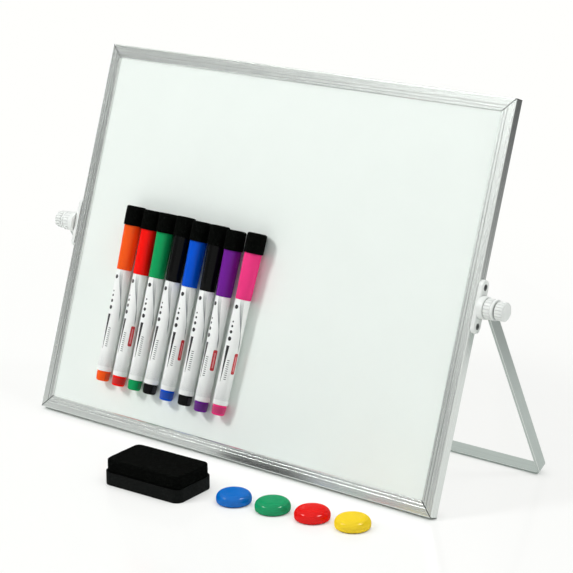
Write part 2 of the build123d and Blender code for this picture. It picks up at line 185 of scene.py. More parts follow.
def mitre_shade(tree):
    """1 in a thin line along the four mitres, 0 elsewhere."""
    upright = add(tree, "SeparateXYZ", {0: place(tree, turn=(TILT, 0, 0))}).outputs
    from_side = sums(tree, "SUBTRACT", SIDE * MM, sums(tree, "ABSOLUTE", upright[0]))
    low = BOARD_FOOT.dot(BOARD_UP)
    lines = []
    for edge, inwards in ((low, 1), (low + BOARD_HEIGHT * MM, -1)):
        from_edge = sums(tree, "MULTIPLY", sums(tree, "SUBTRACT", upright[2], edge), inwards)
        gap = sums(tree, "ABSOLUTE", sums(tree, "SUBTRACT", from_side, from_edge))
        lines.append(ramp(tree, gap, 1, 0, MITRE_HALF_WIDTH, 2 * MITRE_HALF_WIDTH))
    return sums(tree, "MAXIMUM", *lines)


def brushed(name, colour, stretch, lean=0.0, roughness=0.24, mitred=False):
    material, tree, skin = start_finish(name, colour, roughness, metallic=1.0)
    where = place(tree, stretch, (lean, 0, 0))
    streaks = grain(tree, where, 1.0, 5.0, 0.7)
    bands = grain(tree, place(tree, [v * 0.12 for v in stretch], (lean, 0, 0)), 1.0, 2.0)
    bands = ramp(tree, bands, 0, 1, 0.35, 0.65)
    tone = blend_colours(tree, bands, shade(colour, 0.92), colour)
    tone = blend_colours(tree, ramp(tree, streaks, 0, 1, 0.3, 0.7), shade(colour, 0.93), tone)
    if mitred:
        # Painted shade: narrow places such as the rails' grooves are darkened where ambient
        # occlusion finds little open air.
        painted_crevice_shade = ramp(tree, open_air(tree, 0.8 * MM, 16), 1, 0, 0.4, 0.95)
        tone = blend_colours(tree, painted_crevice_shade, tone, shade(colour, 0.55))
        # The mitre gap is painted as a thin dark line, for its shade and grime.
        tone = blend_colours(tree, mitre_shade(tree), tone, shade(colour, 0.12))
    tree.links.new(tone, skin.inputs["Base Color"])
    rough = ramp(tree, streaks, roughness - 0.04, roughness + 0.08, 0.25, 0.75)
    tree.links.new(rough, skin.inputs["Roughness"])
    bump(tree, skin, streaks, 0.000004)
    return material


# Both rail finishes carry painted shade in their crevices and along the mitres.
rail_across = brushed("rail_brushed_across", ALUMINIUM, (10, 1500, 1500), TILT, mitred=True)
rail_upright = brushed("rail_brushed_upright", ALUMINIUM, (1500, 1500, 10), TILT, mitred=True)
print("rail finishes ready")

# %% [markdown]
# The stand is one flat bar bent twice, so its brushing turns with the bar: down each leg,
# then across the foot.  One material serves both: it looks at how far a point is from the
# middle of the stand, and past the bends it reads the streaks that run down the legs.

# %% Stand finish
BEND_START, BEND_END = 0.1885, 0.1905


def bent_bar_finish():
    material, tree, skin = start_finish("stand_brushed", STEEL, 0.36, metallic=1.0)
    across = grain(tree, place(tree, (16, 2800, 2800), (-LEG_LEAN, 0, 0)), 1.0, 5.0, 0.7)
    down = grain(tree, place(tree, (2800, 2800, 16), (-LEG_LEAN, 0, 0)), 1.0, 5.0, 0.7)
    x = add(tree, "SeparateXYZ", {"Vector": add(tree, "TexCoord").outputs["Object"]}).outputs[0]
    on_leg = ramp(tree, sums(tree, "ABSOLUTE", x), 0, 1, BEND_START, BEND_END)
    streaks = add(tree, "Mix", {0: on_leg, 2: across, 3: down}, data_type="FLOAT").outputs[0]
    tone = blend_colours(tree, ramp(tree, streaks, 0, 1, 0.3, 0.7), shade(STEEL, 0.84), STEEL)
    tree.links.new(tone, skin.inputs["Base Color"])
    tree.links.new(ramp(tree, streaks, 0.29, 0.44, 0.25, 0.75), skin.inputs["Roughness"])
    bump(tree, skin, streaks, 0.00002)
    return material


stand_finish = bent_bar_finish()
print("stand finish ready")

# %% [markdown]
# The writing sheets are steel with a hard white lacquer that markers wipe off.  Lacquer is
# glossy but never quite flat, so a very shallow wide noise gives it the faint waviness
# called orange peel.  A clear coat over the white gives the sharp reflection.  The white
# mouldings of the pivots are duller, and their ribs show by painted shade between them.

# %% Plain finishes of the board and pivots
def lacquer():
    white = screen_colour(239, 246, 241)
    material, tree, skin = start_finish(
        "white_lacquer", white, 0.42, coat_weight=0.25, coat_roughness=0.16
    )
    cloud = grain(tree, place(tree), 22, 2.0)
    tone = blend_colours(tree, ramp(tree, cloud, 0, 1, 0.3, 0.7), shade(white, 0.985), white)
    tree.links.new(tone, skin.inputs["Base Color"])
    bump(tree, skin, grain(tree, place(tree), 260, 3.0), 0.00003, 0.5)
    return material


def moulded(
    name, colour, roughness, pebble=900, depth=0.00002, coat=0.0, gloss=0.25, crevice=0.0
):
    """A moulding: faint cloudy tone, a fine mould texture, and painted shade in its crevices."""
    material, tree, skin = start_finish(
        name, colour, roughness, specular_ior_level=gloss, coat_weight=coat,
        coat_roughness=0.08, coat_ior=2.5,
    )
    cloud = grain(tree, place(tree), 160, 3.0)
    tone = blend_colours(tree, ramp(tree, cloud, 0, 1, 0.3, 0.7), shade(colour, 0.96), colour)
    if crevice:
        # Painted shade: crevices such as the grooves between ribs are darkened where ambient
        # occlusion finds little open air.
        painted_crevice_shade = ramp(tree, open_air(tree, crevice, 12), 1, 0, 0.35, 0.95)
        tone = blend_colours(tree, painted_crevice_shade, tone, shade(colour, 0.52))
    tree.links.new(tone, skin.inputs["Base Color"])
    fine = grain(tree, place(tree), pebble, 3.0)
    tree.links.new(
        ramp(tree, fine, roughness - 0.04, roughness + 0.06, 0.3, 0.7), skin.inputs["Roughness"]
    )
    bump(tree, skin, fine, depth)
    return material


white_lacquer = lacquer()
pivot_white = screen_colour(240, 243, 240)
# The pivots' moulding gets painted shade in crevices within 1.4 mm.
white_moulding = moulded("pivot_moulding", pivot_white, 0.36, crevice=1.4 * MM)
dark_screw = brushed(
    "screw_dark_zinc", screen_colour(118, 121, 120), (900, 900, 900), roughness=0.38
)
zinc = brushed("stud_zinc", screen_colour(186, 190, 192), (40, 2600, 2600), roughness=0.32)
brass = brushed("nut_brass", screen_colour(214, 178, 104), (60, 2200, 2200), roughness=0.3)
black_nylon = moulded("corner_nylon", screen_colour(38, 38, 40), 0.5)


def honeycomb_card():
    card = screen_colour(196, 170, 128)
    material, tree, skin = start_finish("core_card", card, 0.85)
    cells = add(
        tree, "TexVoronoi", {"Vector": place(tree), "Scale": 130, "Randomness": 0.0},
        feature="DISTANCE_TO_EDGE",
    ).outputs["Distance"]
    walls = ramp(tree, cells, 1, 0, 0.02, 0.08)
    tree.links.new(blend_colours(tree, walls, shade(card, 0.6), card), skin.inputs["Base Color"])
    bump(tree, skin, walls, 0.0002)
    return material


core_card = honeycomb_card()
print("board and pivot finishes ready")

# %% [markdown]
# Some CAD nodes are already the right shape and only need their finish.  They are never
# moved or edited: a material is all that they get.

# %% Dress the plain CAD nodes
def dress(name, material):
    mesh = nodes[name].data
    mesh.materials.clear()
    mesh.materials.append(material)


dress("writing_sheet_front", white_lacquer)
dress("writing_sheet_back", white_lacquer)
dress("core_panel", core_card)
dress("corner_keys", black_nylon)
dress("pivot_nuts", brass)
dress("knob_stud_left", zinc)
dress("knob_stud_right", zinc)
print("dressed 7 nodes")

# %% [markdown]
# No real metal edge is perfectly sharp.  A copy of a CAD node is merged into clean faces,
# its flat triangles are dissolved, and its sharp edges get a tiny bevel.  That bevel is
# what draws the thin bright line along every rail.  The rails' faces stay flat to the
# edge.  The stand's bends have to look round, so it is shaded smooth, and weighted normals
# keep its broad faces flat.  Its edges get a near-white finish of their own, which is
# rubbed steel and a painted highlight together.

# %% Pieces with eased edges
def finish_piece(name, bm, material, body, replaced=(), smooth=35, matrix=None):
    """Turns a bmesh into a piece of the set, at the origin, riding on its body."""
    if matrix is not None:
        bmesh.ops.transform(bm, matrix=matrix, verts=bm.verts)
    mesh = bpy.data.meshes.new(name)
    bm.to_mesh(mesh)
    bm.free()
    mesh.shade_smooth()
    mesh.set_sharp_from_angle(angle=math.radians(smooth))
    mesh.materials.append(material)
    piece = bpy.data.objects.new(name, mesh)
    bpy.context.scene.collection.objects.link(piece)
    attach(piece, body)
    if replaced:
        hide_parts(*replaced)
    return piece


def sharp_edges(bm, degrees=25, keep=lambda edge: True):
    limit = math.radians(degrees)
    return [
        edge for edge in bm.edges
        if len(edge.link_faces) == 2 and edge.calc_face_angle(0) > limit and keep(edge)
    ]


def ease(bm, edges, width, segments=2):
    return bmesh.ops.bevel(
        bm, geom=edges, offset=width, offset_type="OFFSET", segments=segments, profile=0.5,
        affect="EDGES", material=-1, clamp_overlap=True,
    )


def eased_copy(node, width, material, body, smooth=8, edge_finish=None):
    bm = bmesh.new()
    bm.from_mesh(nodes[node].data)
    bmesh.ops.remove_doubles(bm, verts=bm.verts, dist=1e-6)
    bmesh.ops.dissolve_limit(
        bm, angle_limit=math.radians(0.5), verts=bm.verts, edges=bm.edges
    )
    bevels = ease(bm, sharp_edges(bm), width)["faces"]
    if edge_finish:
        for face in bevels:
            face.material_index = 1
    made = finish_piece(node + "_eased", bm, material, body, [node], smooth)
    if edge_finish:
        made.data.materials.append(edge_finish)
    return made


for finish, rails in ((rail_across, ("bottom", "top")), (rail_upright, ("left", "right"))):
    for rail in rails:
        eased_copy(f"frame_rail_{rail}", 0.06 * MM, finish, "board")
# The stand's bevels are painted near-white: rubbed steel, and a painted highlight along each edge.
rubbed_edge_and_highlight = brushed(
    "stand_rubbed_edge_and_painted_highlight", screen_colour(252, 254, 252), (400, 400, 400), roughness=0.45
)
made = eased_copy("stand_bar", 0.5 * MM, stand_finish, "stand", 50, rubbed_edge_and_highlight)
modifier = made.modifiers.new("flat_faces", "WEIGHTED_NORMAL")
modifier.keep_sharp = True
print("eased 5 pieces")

# %% [markdown]
# Most of the remaining pieces are round.  On a lathe a piece is cut by turning it against
# a tool, and the matching tool here is spin: a few points draw half of the outline, and
# spin carries them once round the axis.  The ends of the outline lie on the axis, so the
# piece comes out closed.

# %% A lathe
def turned(outline, steps=96):
    """Spins (radius, height) points, in millimetres, about z."""
    bm = bmesh.new()
    points = [bm.verts.new((radius * MM, 0, height * MM)) for radius, height in outline]
    edges = [bm.edges.new(pair) for pair in zip(points, points[1:])]
    bmesh.ops.spin(
        bm, geom=points + edges, cent=(0, 0, 0), axis=(0, 0, 1), angle=2 * math.pi,
        steps=steps, use_merge=True,
    )
    bmesh.ops.remove_doubles(bm, verts=bm.verts, dist=1e-7)
    bmesh.ops.recalc_face_normals(bm, faces=bm.faces)
    return bm


def rim_at(height, low=0.0):
    """Picks the ring edges at one height and past one radius, in millimetres."""
    def test(edge):
        flat = all(abs(v.co.z / MM - height) < 0.02 for v in edge.verts)
        radius = sum(v.co.xy.length for v in edge.verts) / 2 / MM
        return flat and low <= radius
    return test


def join(target, other):
    """Adds one bmesh's faces to another, as a separate shell of the same piece."""
    mesh = bpy.data.meshes.new("joined")
    other.to_mesh(mesh)
    other.free()
    target.from_mesh(mesh)
    bpy.data.meshes.remove(mesh)


def block_at(middle, size, turn=0.0):
    """A box from its middle and its size, in millimetres, turned about z by some degrees."""
    bm = bmesh.new()
    spin = Matrix.Rotation(math.radians(turn), 4, "Z")
    stretch = Matrix.Diagonal((*[side * MM for side in size], 1))
    spot = Matrix.Translation([value * MM for value in middle])
    bmesh.ops.create_cube(bm, size=1, matrix=spot @ spin @ stretch)
    return bm


print("lathe and block ready")

# %% [markdown]
# Each pivot is a white moulded bracket on the side rail, a ribbed collar that holds the end
# of the stand's leg, and a ribbed knob that clamps the two together.  They share one axis,
# so all are made about z and then laid along the board's side: z points away from the
# board, and x points up the board, or for the collar up the leg.

# %% Pivot frames
PIVOT = Vector((0, 0.0296801, 0.135371))


def axes_at(origin, x_axis, y_axis, z_axis):
    columns = Matrix((x_axis, y_axis, z_axis)).transposed()
    return Matrix.Translation(origin) @ columns.to_4x4()


def pivot_place(hand, upwards=BOARD_UP):
    away = Vector((hand, 0, 0))
    origin = PIVOT + away * SIDE * MM
    return axes_at(origin, upwards, away.cross(upwards), away)


print("pivots at", PIVOT, "and", SIDE, "mm to each side")

# %% [markdown]
# The bracket's plate has round ends, and its two screws lie in countersinks.  A circle is
# pulled apart into a slot, given its thickness, and the countersinks are cut out of it
# with a boolean, as a drill would cut them.  The round flange is turned, and its middle is
# bored out for the brass nut.

# %% Brackets
PLATE_TOP = 3.4
FLANGE_TOP = 7.8
SCREW_REACH = 13.0


def temporary(bm):
    """Turns a bmesh into an object, because modifiers only work on objects."""
    mesh = bpy.data.meshes.new("temporary")
    bm.to_mesh(mesh)
    bm.free()
    piece = bpy.data.objects.new("temporary", mesh)
    bpy.context.scene.collection.objects.link(piece)
    return piece


def modified(piece, *helpers):
    """The bmesh that an object's modifiers make.  The objects themselves are removed."""
    result = bmesh.new()
    depsgraph = bpy.context.evaluated_depsgraph_get()
    result.from_mesh(piece.evaluated_get(depsgraph).to_mesh())
    for spent in (piece, *helpers):
        mesh = spent.data
        bpy.data.objects.remove(spent)
        bpy.data.meshes.remove(mesh)
    return result


def cut_with(bm, cutter, operation="DIFFERENCE"):
    """Applies a boolean between two bmeshes and returns the result as a new one."""
    piece, tool = temporary(bm), temporary(cutter)
    modifier = piece.modifiers.new("cut", "BOOLEAN")
    modifier.operation = operation
    modifier.solver = "EXACT"
    modifier.object = tool
    return modified(piece, tool)


def slot_plate(length, width, thickness, edge):
    bm = bmesh.new()
    turn = Matrix.Rotation(math.radians(360 / 128), 4, "Z")
    bmesh.ops.create_circle(bm, cap_ends=True, segments=64, radius=width / 2 * MM, matrix=turn)
    for vert in bm.verts:
        vert.co.x += math.copysign((length - width) / 2 * MM, vert.co.x)
    made = bmesh.ops.extrude_face_region(bm, geom=bm.faces[:])
    tops = [part for part in made["geom"] if isinstance(part, bmesh.types.BMVert)]
    bmesh.ops.translate(bm, vec=(0, 0, thickness * MM), verts=tops)
    bmesh.ops.recalc_face_normals(bm, faces=bm.faces)
    ease(bm, sharp_edges(bm, 25, rim_at(thickness)), edge * MM, 4)
    return bm


def bracket(hand, name):
    bm = slot_plate(36.0, 8.4, PLATE_TOP, 0.9)
    flange = turned(
        [(0, 2.0), (4.0, 2.0), (4.0, PLATE_TOP), (7.7, PLATE_TOP), (7.7, FLANGE_TOP),
         (0, FLANGE_TOP)]
    )
    ease(flange, sharp_edges(flange, 25, rim_at(FLANGE_TOP, 6)), 0.5 * MM, 4)
    bm = cut_with(bm, flange, "UNION")
    bm = cut_with(bm, turned([(0, 9.0), (3.55, 9.0), (3.55, 0.3), (0, 0.3)], 48))
    for step in (-1, 1):
        sink = turned(
            [(0, 4.0), (3.0, 4.0), (2.45, PLATE_TOP), (1.3, 2.2), (1.3, -1), (0, -1)], 48
        )
        bmesh.ops.translate(sink, vec=(step * SCREW_REACH * MM, 0, 0), verts=sink.verts)
        bm = cut_with(bm, sink)
    return finish_piece(
        f"bracket_{name}", bm, white_moulding, "board",
        [f"pivot_bracket_{name}"], 32, pivot_place(hand),
    )


for hand, name in ((-1, "left"), (1, "right")):
    made = bracket(hand, name)
    print(made.name, len(made.data.polygons), "faces")

# %% [markdown]
# The screws are small countersunk ones with a cross recess, and their dark plating stands
# out against the white plastic.  One is turned, the cross is cut with two thin blocks, and
# it is set at the four places.

# %% Screws
def cross_head_screw():
    bm = turned(
        [(0, 3.3), (1.5, 3.3), (2.2, 3.05), (2.2, 2.9), (1.15, 1.9), (1.15, -3.0), (0, -3.0)], 40
    )
    for turn in (45, 135):
        bm = cut_with(bm, block_at((0, 0, 3.3), (2.9, 0.62, 1.6), turn))
    return bm


screws = bmesh.new()
for hand in (-1, 1):
    for step in (-1, 1):
        screw = cross_head_screw()
        bmesh.ops.translate(screw, vec=(step * SCREW_REACH * MM, 0, 0), verts=screw.verts)
        bmesh.ops.transform(screw, matrix=pivot_place(hand), verts=screw.verts)
        join(screws, screw)
finish_piece("cross_head_screws", screws, dark_screw, "board", ["bracket_screws"])
print("4 screws")

# %% [markdown]
# Collar and knob have ribs for the fingers.  They are turned with many steps, and then
# each point between two ribs is moved a little towards the axis, so that the ribs stay
# round on top and the grooves are narrow.  The collar's ribs end at a smooth band, and a
# slot is cut into the collar from below for the end of the leg.

# %% Collars and knobs
RIBS = 18
COLLAR_FOOT, COLLAR_TOP = 7.85, 15.25
KNOB_FOOT, KNOB_TOP = 16.0, 22.4
RIB_DEPTH = 0.5


def flute(bm, low, high):
    """Sinks narrow grooves between the ribs, from one height to another in millimetres."""
    for vert in bm.verts:
        radius = vert.co.xy.length
        if low * MM - 1e-6 <= vert.co.z <= high * MM + 1e-6 and radius > 5.5 * MM:
            phase = (math.atan2(vert.co.y, vert.co.x) * RIBS / (2 * math.pi)) % 1.0
            groove = max(0.0, 1 - abs(phase - 0.5) / 0.2)
            vert.co.xy *= 1 - RIB_DEPTH * MM * groove ** 0.6 / radius
    bmesh.ops.recalc_face_normals(bm, faces=bm.faces)
    return bm


def collar():
    bm = turned(
        [(0, COLLAR_FOOT), (6.7, COLLAR_FOOT), (7.05, 8.2), (7.05, 12.9), (6.75, 13.1),
         (6.75, 13.3), (7.05, 13.5), (7.05, 14.8), (6.9, 15.1), (6.6, COLLAR_TOP),
         (0, COLLAR_TOP)],
        RIBS * 10,
    )
    flute(bm, 8.2, 12.9)
    bm = cut_with(bm, turned([(0, 5.0), (2.08, 5.0), (2.08, 18.0), (0, 18.0)], 48))
    return cut_with(bm, block_at((-5.45, 0, 10.0), (20.0, 9.1, 2.1)))


def knob():
    bm = turned(
        [(0, 21.1), (2.0, 21.1), (2.0, 15.3), (4.45, 15.3), (4.45, KNOB_FOOT), (5.6, KNOB_FOOT),
         (6.15, 16.3), (6.4, 16.7), (6.4, 21.4), (6.15, 21.95), (5.65, 22.3),
         (5.0, KNOB_TOP), (4.75, 22.28), (0, 22.28)],
        RIBS * 10,
    )
    return flute(bm, 16.7, 21.4)


collars = bmesh.new()
for hand, name in ((-1, "left"), (1, "right")):
    made = collar()
    bmesh.ops.transform(made, matrix=pivot_place(hand, LEG_UP), verts=made.verts)
    join(collars, made)
    finish_piece(
        f"knob_{name}", knob(), white_moulding, f"knob_{name}",
        [f"clamp_knob_{name}"], 40, pivot_place(hand),
    )
finish_piece(
    "ribbed_collars", collars, white_moulding, "stand", ["pivot_collars"], 40
)
print("2 collars and 2 knobs with", RIBS, "ribs")

# %% [markdown]
# Eight markers cling to the board in a hand-laid row.  The camera's fit gave the place of
# each tail and top, so the row is drawn from the same few numbers as the solids: a first
# place, an even pitch, and small offsets and leans.

# %% Marker frames
ROW_LEFT, ROW_FOOT, ROW_PITCH = 60.2, 29.9, 16.3
SHEET_FACE, REST_GAP = 3.0, 0.25
TOP_OFFSETS = (0.0, 0.5, -0.8, -0.3, -1.3, -1.0, -1.9, 0.3)
FOOT_OFFSETS = (1.3, 0.6, 0.7, 0.8, -0.4, -0.5, -1.7, -0.7)
MARKER_LEANS = (0.6, 1.1, 0.8, 1.7, 1.2, 0.9, 0.9, 1.9)
TUBE_RADIUS = 5.5
FELT_RADIUS = 7.2
PLUG_TOP, SHOULDER, NOSE_TOP, CAP_TOP, FELT_TOP = 7.6, 83.6, 103.6, 117.0, 131.4
LIFT = math.asin((FELT_RADIUS - TUBE_RADIUS) / (CAP_TOP - PLUG_TOP))
board_place = axes_at(BOARD_FOOT, Vector((1, 0, 0)), BOARD_UP, BOARD_OUT)


def marker_place(index, roll):
    lean = math.radians(MARKER_LEANS[index])
    along = Vector(
        (math.sin(lean) * math.cos(LIFT), math.cos(lean) * math.cos(LIFT), math.sin(LIFT))
    )
    across = Vector((math.cos(lean), -math.sin(lean), 0))
    top = ROW_LEFT + index * ROW_PITCH + TOP_OFFSETS[index] - SIDE
    depth = SHEET_FACE + REST_GAP + TUBE_RADIUS - PLUG_TOP * math.sin(LIFT)
    tail = Vector((top - FELT_TOP * along.x, ROW_FOOT + FOOT_OFFSETS[index], depth)) * MM
    flat = axes_at(tail, across, along.cross(across), along)
    return board_place @ flat @ Matrix.Rotation(math.radians(roll), 4, "Z")


print("8 marker frames, lift", round(math.degrees(LIFT), 2), "degrees")

# %% [markdown]
# A dry-erase marker is a white tube with a plug in the ink's colour at its tail and a cap
# in the same colour.  Tube, plug and cap are all gloss mouldings, and plug and cap carry the
# usual faint flow marks.  The colours were fitted one by one, and most are a little brighter
# than they look in the finished picture, because the room dims them.

# %% Marker colours
INKS = {
    "orange": screen_colour(252, 92, 26),
    "red": screen_colour(255, 18, 10),
    "green": screen_colour(14, 160, 92),
    "black": screen_colour(6, 7, 7),
    "blue": screen_colour(0, 84, 212),
    "purple": screen_colour(114, 30, 150),
    "pink": screen_colour(246, 60, 134),
}
ROW = ("orange", "red", "green", "black", "blue", "black", "purple", "pink")
ink_plastic = {
    ink: moulded(f"ink_{ink}", colour, 0.3, 420, 0.000002, 0.035, 0.02)
    for ink, colour in INKS.items()
}
print(len(ink_plastic), "ink colours")

# %% [markdown]
# The tubes are printed.  A print is a set of simple shapes on the unrolled tube, so the
# material reads the tube's own UV map: across it is the way round the tube, and along it
# the height, both turned back into millimetres.  Each shape is a mask from a few sums: a
# disc is a distance, a bar is a box with round corners, and a wedge is a width that grows.
# The design is a plain one: a wedge and dots that hint at line widths, sweeping grey lines
# and a hatched band, all printed twice round the tube, and one red bar.

# %% Print for the tubes
ROUND_MM = 2 * math.pi * TUBE_RADIUS
LONG_MM = 100.0
COLUMN = 3.6  # where the wedge and the dots lie, round the tube


def below(tree, value, edge, soft=0.08):
    """1 where a length in millimetres is below an edge, 0 above it."""
    return ramp(tree, value, 1, 0, edge - soft, edge + soft)


def off_centre(tree, value, centre):
    return sums(tree, "ABSOLUTE", sums(tree, "SUBTRACT", value, centre))


def flat_length(tree, sides):
    flat = add(tree, "CombineXYZ", {0: sides[0], 1: sides[1]}).outputs[0]
    return add(tree, "VectorMath", {0: flat}, operation="LENGTH").outputs["Value"]


def disc(tree, around, along, at, radius):
    away = [off_centre(tree, around, at[0]), off_centre(tree, along, at[1])]
    return below(tree, flat_length(tree, away), radius)


def bar(tree, around, along, at, size, corner):
    across = sums(tree, "SUBTRACT", off_centre(tree, around, at[0]), size[0] / 2 - corner)
    lengthwise = sums(tree, "SUBTRACT", off_centre(tree, along, at[1]), size[1] / 2 - corner)
    outside = [sums(tree, "MAXIMUM", value, 0.0) for value in (across, lengthwise)]
    return below(tree, flat_length(tree, outside), corner)


def all_of(tree, masks):
    """1 wherever any of the masks is 1."""
    total = masks[0]
    for mask in masks[1:]:
        total = sums(tree, "MAXIMUM", total, mask)
    return total


def between(tree, value, low, high, soft=0.08):
    above = ramp(tree, value, 0, 1, low - soft, low + soft)
    return sums(tree, "MULTIPLY", above, below(tree, value, high, soft))


def printed_tube():
    white = screen_colour(244, 246, 244)
    material, tree, skin = start_finish(
        "tube_print", white, 0.28, coat_weight=0.15, coat_roughness=0.1
    )
    unrolled = add(tree, "SeparateXYZ", {0: add(tree, "TexCoord").outputs["UV"]}).outputs
    whole_round = sums(tree, "MULTIPLY", unrolled[0], ROUND_MM)
    around = sums(tree, "MODULO", whole_round, ROUND_MM / 2)
    along = sums(tree, "MULTIPLY", unrolled[1], LONG_MM)

    grow = ramp(tree, along, 0.15, 1.35, 24, 50)
    wedge = sums(tree, "LESS_THAN", off_centre(tree, around, COLUMN), grow)
    wedge = sums(tree, "MULTIPLY", wedge, between(tree, along, 24, 50))
    dots = [
        disc(tree, around, along, (COLUMN, height), radius)
        for height, radius in ((55.0, 1.5), (59.9, 1.2), (64.0, 0.9), (67.3, 0.65), (78.0, 1.5))
    ]
    rows = sums(tree, "PINGPONG", along, 0.75)
    rows = sums(tree, "GREATER_THAN", rows, 0.5)
    rows = sums(tree, "MULTIPLY", rows, between(tree, along, 26, 41))
    rows = sums(tree, "MULTIPLY", rows, below(tree, off_centre(tree, around, 6.6), 0.9))
    black = all_of(tree, [wedge, rows] + dots)

    sway = sums(tree, "SINE", ramp(tree, along, math.pi / 2, -math.pi / 2, 46, 86))
    waves = []
    for step in range(4):
        line = sums(tree, "MULTIPLY_ADD", sway, 3.4 - 0.5 * step, 9.4 + 0.25 * step)
        gap = sums(tree, "ABSOLUTE", sums(tree, "SUBTRACT", around, line))
        waves.append(below(tree, gap, 0.22 - 0.03 * step, 0.08))
    waves = sums(tree, "MULTIPLY", all_of(tree, waves), between(tree, along, 48, 82, 3))

    slanted = sums(tree, "ADD", around, along)
    hatch = sums(tree, "GREATER_THAN", sums(tree, "PINGPONG", slanted, 0.45), 0.3)
    fade = ramp(tree, along, 0.55, 0.0, 11, 24)
    hatch = sums(tree, "MULTIPLY", hatch, fade)
    hatch = sums(tree, "MULTIPLY", hatch, ramp(tree, along, 0, 1, 10.9, 11.1))
    grey = sums(tree, "MAXIMUM", sums(tree, "MULTIPLY", waves, 0.9), hatch)

    red = bar(tree, whole_round, along, (29.1, 38.0), (3.3, 15.0), 1.0)
    core = bar(tree, whole_round, along, (29.1, 38.0), (1.0, 11.0), 0.4)
    colour = blend_colours(tree, grey, white, screen_colour(112, 116, 118))
    colour = blend_colours(tree, red, colour, screen_colour(196, 28, 38))
    colour = blend_colours(tree, core, colour, screen_colour(226, 140, 144))
    colour = blend_colours(tree, black, colour, screen_colour(26, 26, 28))
    tree.links.new(colour, skin.inputs["Base Color"])
    fine = grain(tree, place(tree), 420, 3.0)
    bump(tree, skin, fine, 0.00001)
    return material


tube_print = printed_tube()
print("print has", len(tube_print.node_tree.nodes), "shader nodes")

# %% [markdown]
# The tube is turned, then unrolled for its print.  Every corner of a face asks how far
# round the tube it lies.  Where a face crosses the place where a full turn meets zero, the
# corner past it counts on from one turn, or the print would be squeezed backwards there.

# %% Tubes
ROUND_STEPS = 72


def unroll(bm):
    """Gives the tube a UV map: full turns across, and hundreds of millimetres along."""
    layer = bm.loops.layers.uv.new("unrolled")
    for face in bm.faces:
        centre = face.calc_center_median()
        middle = math.atan2(centre.y, centre.x)
        for corner in face.loops:
            point = corner.vert.co
            angle = math.atan2(point.y, point.x) if point.xy.length > 1e-6 else middle
            while angle - middle > math.pi:
                angle -= 2 * math.pi
            while angle - middle < -math.pi:
                angle += 2 * math.pi
            share = angle / (2 * math.pi) + (1 if middle < 0 else 0)
            corner[layer].uv = (share, point.z / MM / LONG_MM)


def tube():
    bm = turned(
        [(0, PLUG_TOP), (TUBE_RADIUS, PLUG_TOP), (TUBE_RADIUS, SHOULDER), (4.6, SHOULDER),
         (4.6, NOSE_TOP), (1.6, NOSE_TOP), (0, NOSE_TOP)],
        ROUND_STEPS,
    )
    ease(bm, sharp_edges(bm, 25, rim_at(PLUG_TOP)), 0.25 * MM, 3)
    ease(bm, sharp_edges(bm, 25, rim_at(SHOULDER, 5.0)), 0.25 * MM, 3)
    ease(bm, sharp_edges(bm, 25, rim_at(NOSE_TOP, 3)), 0.8 * MM, 4)
    unroll(bm)
    return bm


# The side of the print that shows differs from marker to marker, as they were laid down.
ROLLS = (-142, 34, -132, -140, 48, -136, 30, 50)
for index, ink in enumerate(ROW):
    name = f"marker_{index + 1}"
    made = finish_piece(
        f"{name}_tube", tube(), tube_print, name, [f"{name}_barrel"], 40,
        marker_place(index, ROLLS[index]),
    )
print("8 tubes of", len(made.data.polygons), "faces")

# %% [markdown]
# The plug closes the tube's tail.  It has a rounded end and a shallow groove near the tube.
# The nib sits at the other end, hidden until the cap is pulled: a flat felt bar cut on a
# slant.  Plug and nib share one CAD node, so one piece holds both.

# %% Plugs and nibs
felt_ink = {}
for ink, colour in INKS.items():
    material, tree, skin = start_finish(f"nib_{ink}", shade(colour, 0.6), 0.9, sheen_weight=0.2)
    fibre = grain(tree, place(tree), 2600, 4.0)
    tone = blend_colours(tree, fibre, shade(colour, 0.45), shade(colour, 0.8))
    tree.links.new(tone, skin.inputs["Base Color"])
    bump(tree, skin, fibre, 0.0001)
    felt_ink[ink] = material


def plug():
    bm = turned(
        [(0, 0.0), (4.7, 0.0), (5.1, 6.3), (4.85, 6.5), (4.85, 6.9), (5.2, 7.1), (5.2, 7.58),
         (0, 7.58)],
        ROUND_STEPS,
    )
    ease(bm, sharp_edges(bm, 25, rim_at(0.0)), 1.5 * MM, 6)
    return bm


def nib():
    bm = block_at((0, 0, NOSE_TOP + 3.5), (4.3, 2.9, 7.0))
    slant = Vector((0.5, 0, 1)).normalized()
    bmesh.ops.bisect_plane(
        bm, geom=bm.verts[:] + bm.edges[:] + bm.faces[:], clear_outer=True,
        plane_co=(0, 0, (NOSE_TOP + 5.8) * MM), plane_no=slant,
    )
    bmesh.ops.holes_fill(bm, edges=[edge for edge in bm.edges if edge.is_boundary], sides=0)
    ease(bm, sharp_edges(bm), 0.35 * MM, 3)
    return bm


for index, ink in enumerate(ROW):
    name = f"marker_{index + 1}"
    bm = plug()
    plug_faces = len(bm.faces)
    join(bm, nib())
    made = finish_piece(
        f"{name}_plug", bm, ink_plastic[ink], name, [f"{name}_plug_and_nib"], 35,
        marker_place(index, ROLLS[index]),
    )
    made.data.materials.append(felt_ink[ink])
    for face in list(made.data.polygons)[plug_faces:]:
        face.material_index = 1
print("8 plugs with nibs")

# %% [markdown]
# The cap widens slightly towards its felt, so that it draws off the mould, and it is
# hollow: a bore takes the nose and the nib.  The outline runs up the outside, over the
# top and back down inside the bore, so one turning makes both walls.

